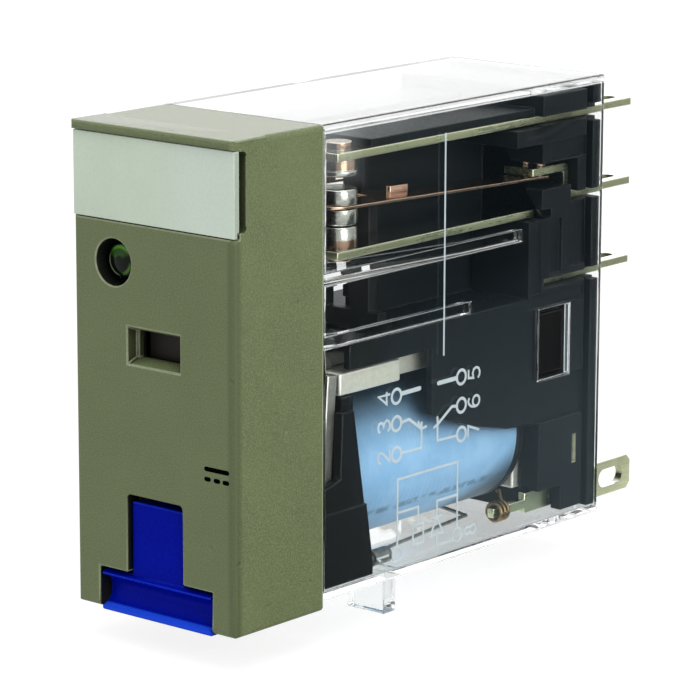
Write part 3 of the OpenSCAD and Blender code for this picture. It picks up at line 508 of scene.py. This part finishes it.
# blue tape
coilLow, coilHigh = boxInMm("coil_tape")
coilMiddle = (coilLow + coilHigh) / 2
tapeLook = {
    "low": (0.215, 0.43, 0.67), "high": (0.31, 0.53, 0.76), "streak": (0.14, 0.26, 0.39),
    # painted shade colour for the top and the rear underside, with where it starts and ends
    "shadeTint": (0.05, 0.09, 0.12), "shadeFrom": coilMiddle.z + 1.4, "shadeTo": coilHigh.z - 0.2,
    "shadeSlope": (0.54, 0.84), "shadeRun": (0.1, 1.7), "seam": coilLow.z + 2.35, "seamHalf": 0.2,
    "turns": 2.3,
}


def makeTape():
    material, tree, shader, place = newMaterial("tapeBlue", Roughness=0.45, Specular_IOR_Level=0.3)
    grain = useGroup(tree, mouldGrain, Vector=place, Pitch=2.6, Cloud=0.42)
    base = mixColour(tree, grain["Tone"], tapeLook["low"], tapeLook["high"])
    # ragged end of the tape along the lower flank
    seam = useGroup(
        tree, zoneMask, Vector=place, Low=(2, coilLow.y, tapeLook["seam"] - tapeLook["seamHalf"]),
        High=(9, coilHigh.y, tapeLook["seam"] + tapeLook["seamHalf"]), Soft=0.16
    )["Mask"]
    torn = stretch(tree, noiseOf(tree, place, 1.6, 5.0, 0.7), 0.46, 0.54)
    base = mixColour(tree, math2(tree, "MULTIPLY", seam, torn), base, tapeLook["streak"])
    axes = addNode(tree, "ShaderNodeSeparateXYZ")
    tree.links.new(place, axes.inputs[0])
    # painted shade: darker toward the top of the coil, under the yoke
    high = stretch(tree, axes.outputs[2], tapeLook["shadeFrom"], tapeLook["shadeTo"], 0.0, 0.85)
    base = mixColour(tree, high, base, tapeLook["shadeTint"])
    # rear underside lies in the shade of the base
    along, down = tapeLook["shadeSlope"]
    slant = vector2(tree, "DOT_PRODUCT", place, (0, along, -down))
    start = along * coilHigh.y - down * coilMiddle.z
    first, last = (start + run for run in tapeLook["shadeRun"])
    base = mixColour(tree, stretch(tree, slant, first, last, 0.0, 0.85), base, tapeLook["shadeTint"])
    base = shadeColour(tree, base, 2.6, 0.8)
    tree.links.new(base, shader.inputs["Base Color"])
    addPaintedEdge(material, tapeLook["high"], 0.5)
    ribs = math2(tree, "SINE", math2(tree, "MULTIPLY", axes.outputs[1], tapeLook["turns"] * math.tau))
    height = math2(tree, "ADD", grain["Height"], math2(tree, "MULTIPLY", ribs, 0.15))
    addBump(tree, shader, height, 0.03 * mm, 0.5)
    return material


tapeBlue = makeTape()

# lamp lens
lensLook = {
    "dark": (0.002, 0.005, 0.0015), "deep": (0.02, 0.08, 0.008), "greenHighlight": (0.12, 0.36, 0.03),
    "paleHighlight": (0.42, 0.48, 0.34),
    "lightArcs": [  # painted light on the lens, each arc: inner radius, outer radius, toward, from where on that side, colour, share
        (0.30, 0.92, (-0.1, 0, 1), 0.35, "deep", 1.0),
        (0.74, 0.9, (0.05, 0, 1), 0.55, "greenHighlight", 1.0),
        (0.70, 0.86, (0.75, 0, -0.66), 0.75, "greenHighlight", 1.0),
        (0.84, 0.89, (-0.85, 0, -0.5), 0.5, "paleHighlight", 0.9),
    ],
}


def makeLens():
    finish = {"Roughness": 0.1, "IOR": 1.5, "Specular_IOR_Level": 0.12}
    material, tree, shader, place = newMaterial("lensGreen", **finish)
    grain = useGroup(tree, mouldGrain, Vector=place, Pitch=3.0, Cloud=1.2)
    base = mixColour(tree, grain["Tone"], lensLook["dark"], scaled(lensLook["dark"], 1.5))
    # painted light: arcs of green and a pale line laid over the dark lens
    for inner, outer, toward, edge, tint, share in lensLook["lightArcs"]:
        ring = useGroup(
            tree, ringMask, Vector=place, Centre=lampSpot, Toward=toward, Inner=inner, Outer=outer, Soft=0.1
        )
        part = math2(tree, "MULTIPLY", ring["Mask"], stretch(tree, ring["Side"], edge, edge + 0.35))
        base = mixColour(tree, math2(tree, "MULTIPLY", part, share), base, lensLook[tint])
    tree.links.new(base, shader.inputs["Base Color"])
    return material


lensGreen = makeLens()

# clear case
capDepth = boxInMm("cap_housing")[1].y
clearLook = {
    "low": (0.965, 0.985, 0.98), "high": (0.99, 1.0, 0.995), "specular": 0.3, "wave": 0.004,
    "edgeShade": (0.66, 0.72, 0.72),
    # painted shade: the clear neck inside the cap tinted dark
    "shadeInCap": ((-9, 0, 0), (9, capDepth - 0.2, 30), 0.1, (0.01, 0.012, 0.008), 1.0),
}


def makeClear():
    finish = {"IOR": 1.5, "Specular_IOR_Level": clearLook["specular"]}
    material, tree, shader, place = newMaterial("clearCase", **finish)
    shader.inputs["Transmission Weight"].default_value = 1.0
    grain = useGroup(tree, mouldGrain, Vector=place, Pitch=0.9, Cloud=0.12)
    base = mixColour(tree, grain["Tone"], clearLook["low"], clearLook["high"])
    tree.links.new(paintZones(tree, place, base, [clearLook["shadeInCap"]]), shader.inputs["Base Color"])
    tree.links.new(stretch(tree, grain["Tone"], 0.0, 1.0, 0.0, 0.03), shader.inputs["Roughness"])
    addBump(tree, shader, grain["Tone"], clearLook["wave"] * mm, 0.25)
    # painted shade: the rounded edges tinted grey
    addPaintedEdge(material, clearLook["edgeShade"], 0.8)
    return material


clearCase = makeClear()


def makeInk(name, colour, cover):
    material, tree, shader, place = newMaterial(name, Roughness=0.8, Specular_IOR_Level=0.0, Alpha=cover)
    grain = useGroup(tree, mouldGrain, Vector=place, Pitch=9.0, Cloud=1.5)
    tone = mixColour(tree, grain["Tone"], scaled(colour, 0.9), colour)
    tree.links.new(tone, shader.inputs["Base Color"])
    return material


inkWhite = makeInk("inkWhite", (0.62, 0.71, 0.74), 0.75)
inkBlack = makeInk("inkBlack", (0.0012, 0.0016, 0.0008), 1.0)
print("materials ready")

# finish and rounded edges of every piece: material, edge width in millimetres
finishOf = {
    "cap_housing": (capOlive, 0.1), "marker_plate": (plateWhite, 0.07), "test_lever": (leverBlue, 0.1),
    "led_board": (boardGreen, 0.03), "led_lamp": (lensGreen, 0), "resistor": (chipDark, 0.04),
    "diode": (wireGrey, 0), "indicator_flag": (flagBrown, 0.05), "case_cover": (clearCase, 0.12),
    "base": (blackMould, 0.07), "bobbin": (bobbinBlack, 0.1), "coil_winding": (wireCopper, 0),
    "coil_tape": (tapeBlue, 0.06), "coil_core": (coreIron, 0.1), "yoke": (yokeSteel, 0.14),
    "hinge_spring": (springCopper, 0.03), "armature": (armatureSteel, 0.12), "card": (cardBlack, 0.06),
    "moving_spring": (springCopper, 0.04), "moving_contact": (movingContact, 0.05),
    "no_terminal": (terminalBrass, 0.06), "no_contact": (noContact, 0.05),
    "com_terminal": (terminalBrass, 0.06), "nc_terminal": (terminalBrass, 0.06),
    "nc_contact": (ncContact, 0.05), "coil_terminal": (terminalBrass, 0.06), "coil_lead": (wireCopper, 0),
}
softRule = {  # lengths in metres, angles in degrees
    "weld": 2e-7, "flat": 0.6, "fold": 30.0, "straight": 150.0, "share": 0.4, "short": 0.09 * mm,
    "segments": 3,
}


def edgeLimit(edge):
    # a rounding may take this much: a share of each neighbouring edge that turns away
    room = 1.0
    for vert in edge.verts:
        along = (edge.other_vert(vert).co - vert.co).normalized()
        for other in vert.link_edges:
            if other is edge:
                continue
            away = (other.other_vert(vert).co - vert.co).normalized()
            turn = along.angle(away, 0.0)
            if math.degrees(turn) < softRule["straight"]:
                room = min(room, other.calc_length() * softRule["share"] * math.sin(turn))
    return room


def softCopy(name, width):
    # the node's own solid, welded, with its hard edges rounded
    bm = bmesh.new()
    bm.from_mesh(nodes[name].data)
    bmesh.ops.remove_doubles(bm, verts=bm.verts, dist=softRule["weld"])
    bmesh.ops.dissolve_limit(bm, angle_limit=math.radians(softRule["flat"]), verts=bm.verts, edges=bm.edges)
    layer = bm.edges.layers.float.new("bevel_weight_edge")
    for edge in bm.edges:
        folded = len(edge.link_faces) == 2 and math.degrees(edge.calc_face_angle(0.0)) > softRule["fold"]
        rounded = folded and edge.calc_length() > softRule["short"]
        weight = min(1.0, edgeLimit(edge) / width) if rounded else 0.0
        edge[layer] = weight
        edge.smooth = not folded or weight > 0.02
    for face in bm.faces:
        face.smooth = True
    mesh = bpy.data.meshes.new(name + "_soft")
    bm.to_mesh(mesh)
    bm.free()
    piece = bpy.data.objects.new(name + "_soft", mesh)
    bpy.context.scene.collection.objects.link(piece)
    rounding = piece.modifiers.new("rounding", "BEVEL")
    rounding.limit_method = "WEIGHT"
    rounding.width = width
    rounding.segments = softRule["segments"]
    rounding.use_clamp_overlap = False
    # bevel faces take the copy with the painted edge colour
    rounding.material = 1
    evening = piece.modifiers.new("evening", "WEIGHTED_NORMAL")
    evening.keep_sharp = True
    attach(piece, nodes[name].parent.name.split(":")[1])
    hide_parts(name)
    return piece


dressed = {}
for name, node in nodes.items():
    finish, width = finishOf[name.rsplit("_", 1)[0] if name[-2:] in ("_1", "_2") else name]
    dressed[name] = softCopy(name, width * mm) if width else node
    dressed[name].data.materials.clear()
    dressed[name].data.materials.append(finish)
    if width:
        dressed[name].data.materials.append(paintedEdgeOf[finish.name])
dressed["case_cover"].visible_shadow = False  # light reaches the mechanism through the clear walls
print("pieces rounded and finished")


# printed marks
printInk = {
    "line": 0.18, "thin": 0.15, "thick": 0.27, "height": 0.012, "step": 0.0004, "circle": 0.44, "mitre": 2.2,
}
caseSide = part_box("case_cover")[1].x


def ribbon(bm, points, width, place, level, closed=False):
    # one flat mitred band through the drawn points
    count = len(points)
    rows = []
    for i, (u, v) in enumerate(points):
        ends = []
        if i or closed:
            ends.append((points[i - 1], points[i]))
        if i < count - 1 or closed:
            ends.append((points[i], points[(i + 1) % count]))
        normals = []
        for (u0, v0), (u1, v1) in ends:
            run = math.hypot(u1 - u0, v1 - v0)
            normals.append(Vector((-(v1 - v0) / run, (u1 - u0) / run)))
        middle = sum(normals, Vector((0, 0))).normalized()
        reach = width / 2 * min(printInk["mitre"], 1 / max(0.1, middle.dot(normals[0])))
        left, right = Vector((u, v)) + middle * reach, Vector((u, v)) - middle * reach
        corners = ((left, 0), (left, level), (right, level), (right, 0))
        rows.append([bm.verts.new(place(*spot, w)) for spot, w in corners])
    for i in range(count if closed else count - 1):
        here, there = rows[i], rows[(i + 1) % count]
        for j in range(4):
            k = (j + 1) % 4
            bm.faces.new((here[j], here[k], there[k], there[j]))
    if not closed:
        bm.faces.new(rows[0])
        bm.faces.new(rows[-1][::-1])


def arcPoints(u, v, radius, count, step, start=0.0):
    turns = [start + t * step for t in range(count)]
    return [(u + radius * math.cos(turn), v + radius * math.sin(turn)) for turn in turns]


def capsule(bm, points, width, place, level):
    # straight bar with round ends
    (u0, v0), (u1, v1) = points
    turn = math.atan2(v1 - v0, u1 - u0)
    outline = []
    for u, v, start in ((u1, v1, turn - math.pi / 2), (u0, v0, turn + math.pi / 2)):
        outline += arcPoints(u, v, width / 2, 9, math.pi / 8, start)
    low, high = ([bm.verts.new(place(u, v, w)) for u, v in outline] for w in (0, level))
    bm.faces.new(high)
    bm.faces.new(low[::-1])
    for i in range(len(outline)):
        j = (i + 1) % len(outline)
        bm.faces.new((low[i], low[j], high[j], high[i]))


def onSide(u, v, w):
    return Vector((caseSide + w * mm, capFace.y + u * mm, capFace.z + v * mm))


def onFront(u, v, w):
    return Vector((u * mm, capFace.y - w * mm, capFace.z + v * mm))


digitHalf = (0.5, 0.75)  # half the width and half the height of a numeral
digitStrokes = {  # a stroke that ends where it began is closed
    "1": [[(0.22, 1.12), (0.55, 1.5), (0.55, 0)]],
    "2": [[(0.04, 1.12), (0.14, 1.36), (0.36, 1.5), (0.64, 1.5), (0.88, 1.34), (0.9, 1.06), (0.72, 0.76),
           (0.05, 0.02), (0.98, 0.02)]],
    "3": [[(0.05, 1.25), (0.26, 1.46), (0.52, 1.5), (0.8, 1.38), (0.86, 1.12), (0.74, 0.88), (0.45, 0.8),
           (0.78, 0.7), (0.95, 0.42), (0.84, 0.14), (0.52, 0), (0.2, 0.05), (0.02, 0.26)]],
    "4": [[(0.76, 0), (0.76, 1.46), (0.02, 0.44), (1.02, 0.44)]],
    "5": [[(0.88, 1.5), (0.18, 1.5), (0.1, 0.84), (0.5, 0.95), (0.82, 0.8), (0.94, 0.48), (0.82, 0.16),
           (0.52, 0), (0.22, 0.04), (0.02, 0.24)]],
    "6": [[(0.86, 1.36), (0.62, 1.5), (0.36, 1.42), (0.12, 1.1), (0.04, 0.7), (0.04, 0.42)],
          arcPoints(0.5, 0.45, 0.45, 17, math.tau / 16)],
    "7": [[(0.02, 1.48), (0.95, 1.48), (0.4, 0)]],
    "8": [arcPoints(0.5, 1.14, 0.34, 17, math.tau / 16), arcPoints(0.5, 0.4, 0.42, 17, math.tau / 16)],
}


def drawPlan(bm, plan, place):
    # every stroke lies a hair higher than the one before, so none flickers
    for i, (points, width) in enumerate(plan):
        level = printInk["height"] + i * printInk["step"]
        closed = math.dist(points[0], points[-1]) < 1e-6
        if len(points) == 2:
            capsule(bm, points, width, place, level)
        else:
            ribbon(bm, points[:-1] if closed else points, width, place, level, closed)


def digitPlan(digit, u, v, size, width):
    # turned a quarter left: the numeral's top points to the cap
    plan = []
    for stroke in digitStrokes[digit]:
        turned = [(u + (digitHalf[1] - q) * size, v + (p - digitHalf[0]) * size) for p, q in stroke]
        plan.append((turned, width))
    return plan


def circlePlan(u, v, radius, width):
    ring = arcPoints(u, v, radius, 28, math.tau / 28)
    return [(ring + ring[:1], width)]


diagram = {  # depth from the cap face and height over the cap's bottom
    "contactDigits": {"4": (14.45, 11.85, 13.3), "3": (14.47, 10.16, 13.3), "2": (14.49, 8.27, 13.3),
                      "5": (20.69, 11.95, 21.95), "6": (20.72, 10.17, 21.95), "7": (20.75, 8.35, 21.95)},
    "contactSize": 0.74, "coilDigits": {"1": (14.6, 2.05, 13.3), "8": (20.4, 2.05, 21.7)}, "coilSize": 0.7,
    "strokes": [
        ([(15.0, 11.93), (16.65, 11.95)], "thick"),  # fixed contacts
        ([(20.2, 11.96), (18.46, 11.95)], "thick"),
        ([(14.9, 10.15), (15.65, 10.22), (16.86, 9.41)], "line"),  # moving contacts with their arrows
        ([(16.5, 9.93), (16.86, 9.41), (17.35, 9.48)], "thin"),
        ([(16.86, 9.85), (16.86, 8.24), (14.92, 8.27)], "thin"),
        ([(20.28, 10.2), (19.79, 10.26), (18.41, 9.4)], "line"),
        ([(18.36, 9.9), (18.41, 9.4), (18.0, 9.24)], "thin"),
        ([(18.4, 9.86), (18.4, 8.39), (20.32, 8.34)], "thin"),
        ([(14.6, 2.5), (14.6, 6.68), (20.4, 6.68), (20.4, 2.5)], "thin"),  # coil branch
        ([(16.1, 2.3), (16.1, 3.5), (17.1, 3.5), (17.1, 2.3), (16.1, 2.3)], "thin"),
        ([(14.6, 4.6), (16.6, 4.6), (16.6, 3.5)], "thin"),
        ([(16.6, 2.3), (16.6, 1.8)], "thin"),
        ([(18.4, 3.6), (19.0, 2.5), (17.8, 2.5), (18.4, 3.6)], "thin"),
        ([(17.9, 3.6), (18.9, 3.6)], "thin"),
        ([(18.4, 3.6), (18.4, 4.6), (20.4, 4.6)], "thin"),
        ([(18.4, 2.5), (18.4, 1.8), (20.0, 1.8)], "thin"),
    ],
}


def diagramPlan():
    # each numeral stands beside its circle
    line, thin = printInk["line"], printInk["thin"]
    plan = []
    for digit, (u, v, numeralU) in diagram["contactDigits"].items():
        plan += circlePlan(u, v, printInk["circle"], line)
        plan += digitPlan(digit, numeralU, v + 0.04, diagram["contactSize"], thin)
    plan += [(points, printInk[width]) for points, width in diagram["strokes"]]
    for digit, (u, v, numeralU) in diagram["coilDigits"].items():
        plan += circlePlan(u, v, printInk["circle"], thin)
        plan += digitPlan(digit, numeralU, v + 0.05, diagram["coilSize"], thin)
    return plan


directMark = {
    "bar": [(4.05, 9.82), (5.7, 9.82)], "barWidth": 0.27, "dashes": (4.05, 4.77, 5.46), "dashHeight": 9.22,
    "dashLength": 0.24, "dashWidth": 0.26,
}
sideRule = {"ends": [(18.95, 13.63), (18.95, 27.15)], "width": 0.14}


def directPlan():
    # a long bar over three dashes
    v = directMark["dashHeight"]
    plan = [(directMark["bar"], directMark["barWidth"])]
    for u in directMark["dashes"]:
        plan.append(([(u, v), (u + directMark["dashLength"], v)], directMark["dashWidth"]))
    return plan


def printPiece(name, plan, place, material):
    bm = bmesh.new()
    drawPlan(bm, plan, place)
    bmesh.ops.recalc_face_normals(bm, faces=bm.faces)
    mesh = bpy.data.meshes.new(name)
    bm.to_mesh(mesh)
    bm.free()
    mesh.materials.append(material)
    piece = bpy.data.objects.new(name, mesh)
    bpy.context.scene.collection.objects.link(piece)
    piece.visible_shadow = False
    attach(piece, "body")


printPiece("terminal_diagram", diagramPlan(), onSide, inkWhite)
printPiece("side_rule", [(sideRule["ends"], sideRule["width"])], onSide, inkWhite)
printPiece("direct_current_mark", directPlan(), onFront, inkBlack)
print("printed marks drawn")


# floor, light and camera
studio = {  # lengths in metres; a glow has one level each for the camera, mirrors and glass, and soft light
    "floor": 2.5, "floorColour": 0.22, "floorGlow": (0.84, 0.80, 0.25), "worldGlow": (1.0, 0.86, 0.5),
    "floorGap": 0.0001, "cardLift": 0.0004,
    "cardCorners": [(0.0065, -0.04), (0.2, 0.07), (0.2, 0.34), (0.0065, 0.001)],
    "card": (0.17, 0.23, 0.27),
    "cardEye": (-126.8, -148.5, 62.7),  # millimetres: the point behind the case that the card is graded from
    "cardZones": [  # painted reflections, in millimetres on the case side as it lies before the card: darker high up and toward the front, and a sheen
        ((-99, -99, 14), (99, 99, 99), 12.0, (0.03, 0.045, 0.055), 1.0),
        ((-99, -99, -99), (99, 13.5, 99), 2.0, (0.05, 0.06, 0.06), 1.0),
        ((-99, 4, 28.0), (99, 10, 40), 3.4, (1.5, 1.6, 1.6), 1.0),  # sheen at the upper front corner
    ],
}
softBoxes = [  # name, place, target, size in metres, power in watts
    ("topBox", (0.05, -0.05, 0.5), (0, -0.02, 0), (0.5, 0.5), 1.5),
    ("frontBox", (-0.25, -0.55, 0.2), (0, -0.02, 0), (0.4, 0.4), 0.35),
    ("sideBox", (0.6, -0.15, 0.15), (0, -0.02, 0), (0.4, 0.4), 2.1),
    ("rearBox", (-0.39, 0.45, 0.16), (0, -0.01, 0), (0.6, 0.5), 0.6),
]
lowest = cadBox[0].z


def addPlane(name, corners, z):
    bm = bmesh.new()
    bm.faces.new([bm.verts.new((x, y, z)) for x, y in corners])
    mesh = bpy.data.meshes.new(name)
    bm.to_mesh(mesh)
    bm.free()
    plane = bpy.data.objects.new(name, mesh)
    bpy.context.scene.collection.objects.link(plane)
    return plane


def glowLevel(tree, seen, mirrored, soft):
    # strength for the camera, for mirrors and glass, and for soft light
    path = addNode(tree, "ShaderNodeLightPath").outputs
    through = math2(tree, "MAXIMUM", path["Is Glossy Ray"], path["Is Transmission Ray"])
    forCamera = math2(tree, "MULTIPLY", path["Is Camera Ray"], seen)
    forMirrors = math2(tree, "MULTIPLY", through, mirrored)
    return math2(tree, "MAXIMUM", math2(tree, "MAXIMUM", forCamera, forMirrors), soft)


def makeFloor():
    size = studio["floor"]
    corners = [(-size, -size), (size, -size), (size, size), (-size, size)]
    floor = addPlane("floor", corners, lowest - studio["floorGap"])
    material, tree, shader, place = newMaterial("floorWhite", Roughness=0.7)
    shader.inputs["Base Color"].default_value = (*[studio["floorColour"]] * 3, 1)
    shader.inputs["Specular IOR Level"].default_value = 0.1
    glow = addNode(tree, "ShaderNodeEmission")
    glow.inputs["Color"].default_value = (1, 1, 1, 1)
    tree.links.new(glowLevel(tree, *studio["floorGlow"]), glow.inputs["Strength"])
    both = addNode(tree, "ShaderNodeAddShader")
    feed(tree, both.inputs, (shader.outputs[0], glow.outputs[0]))
    tree.links.new(both.outputs[0], tree.nodes["Material Output"].inputs["Surface"])
    floor.data.materials.append(material)


def makeCard():
    # dark studio card beside the object, seen only as a reflection in the clear side
    card = addPlane("darkCard", studio["cardCorners"], lowest + studio["cardLift"])
    material, tree, shader, place = newMaterial("cardGrey", Roughness=1.0, Specular_IOR_Level=0.0)
    shader.inputs["Base Color"].default_value = (0, 0, 0, 1)
    eye = studio["cardEye"]
    # each spot of the card is brought to the case side along its line to that point
    fromEye = vector2(tree, "SUBTRACT", vector2(tree, "MULTIPLY", place, (1, 1, 0)), eye)
    axes = addNode(tree, "ShaderNodeSeparateXYZ")
    tree.links.new(fromEye, axes.inputs[0])
    spread = math2(tree, "DIVIDE", axes.outputs[0], capBox[1].x - eye[0])
    same = addNode(tree, "ShaderNodeCombineXYZ")
    feed(tree, same.inputs, (spread, spread, spread))
    met = vector2(tree, "ADD", vector2(tree, "DIVIDE", fromEye, same.outputs[0]), eye)
    tone = paintZones(tree, met, studio["card"], studio["cardZones"])
    tree.links.new(tone, shader.inputs["Emission Color"])
    shader.inputs["Emission Strength"].default_value = 1.0
    card.data.materials.append(material)
    card.visible_camera = card.visible_diffuse = card.visible_shadow = False


def makeWorld():
    world = bpy.data.worlds.new("studio")
    bpy.context.scene.world = world
    world.use_nodes = True
    tree = world.node_tree
    background = tree.nodes["Background"]
    background.inputs["Color"].default_value = (1, 1, 1, 1)
    tree.links.new(glowLevel(tree, *studio["worldGlow"]), background.inputs["Strength"])


def softBox(name, place, target, size, power):
    light = bpy.data.lights.new(name, "AREA")
    light.shape = "RECTANGLE"
    light.size, light.size_y = size
    light.energy = power
    obj = bpy.data.objects.new(name, light)
    bpy.context.scene.collection.objects.link(obj)
    obj.location = place
    obj.rotation_mode = "QUATERNION"
    obj.rotation_quaternion = (Vector(target) - Vector(place)).to_track_quat("-Z", "Y")
    obj.visible_camera = False


view = {  # fitted to the corners seen in the photograph: degrees, millimetres, and focal length in pixels
    "azimuth": 40.0, "elevation": 12.53, "roll": 0.20, "target": (0, -17.25, 0), "distance": 222.3,
    "left": 0.09, "down": 1.26, "focal": 3626.6, "pixels": 700, "sensor": 36,
}


def makeCamera():
    azimuth, elevation, roll = (math.radians(view[key]) for key in ("azimuth", "elevation", "roll"))
    level = math.cos(elevation)
    back = Vector((math.sin(azimuth) * level, -math.cos(azimuth) * level, math.sin(elevation)))
    right = Vector((math.cos(azimuth), math.sin(azimuth), 0))
    up = back.cross(right)
    spot = Vector(view["target"]) + back * view["distance"] - right * view["left"] - up * view["down"]
    rightRolled = math.cos(roll) * right + math.sin(roll) * up
    upRolled = -math.sin(roll) * right + math.cos(roll) * up
    data = bpy.data.cameras.new("photoCamera")
    camera = bpy.data.objects.new("photoCamera", data)
    bpy.context.scene.collection.objects.link(camera)
    data.sensor_width = view["sensor"]
    data.lens = view["focal"] / view["pixels"] * view["sensor"]
    data.clip_start, data.clip_end = 0.02, 20
    turn = Matrix((rightRolled, upRolled, back)).transposed().to_4x4()
    camera.matrix_world = Matrix.Translation(spot * mm) @ turn
    bpy.context.scene.camera = camera


makeFloor()
makeCard()
makeWorld()
for lamp in softBoxes:
    softBox(*lamp)
makeCamera()
scene = bpy.context.scene
scene.view_settings.view_transform = "Standard"
# the clear case is a thick solid, so light paths through it are long
scene.cycles.max_bounces = 24
scene.cycles.glossy_bounces = 16
scene.cycles.transmission_bounces = 24
print("studio ready")
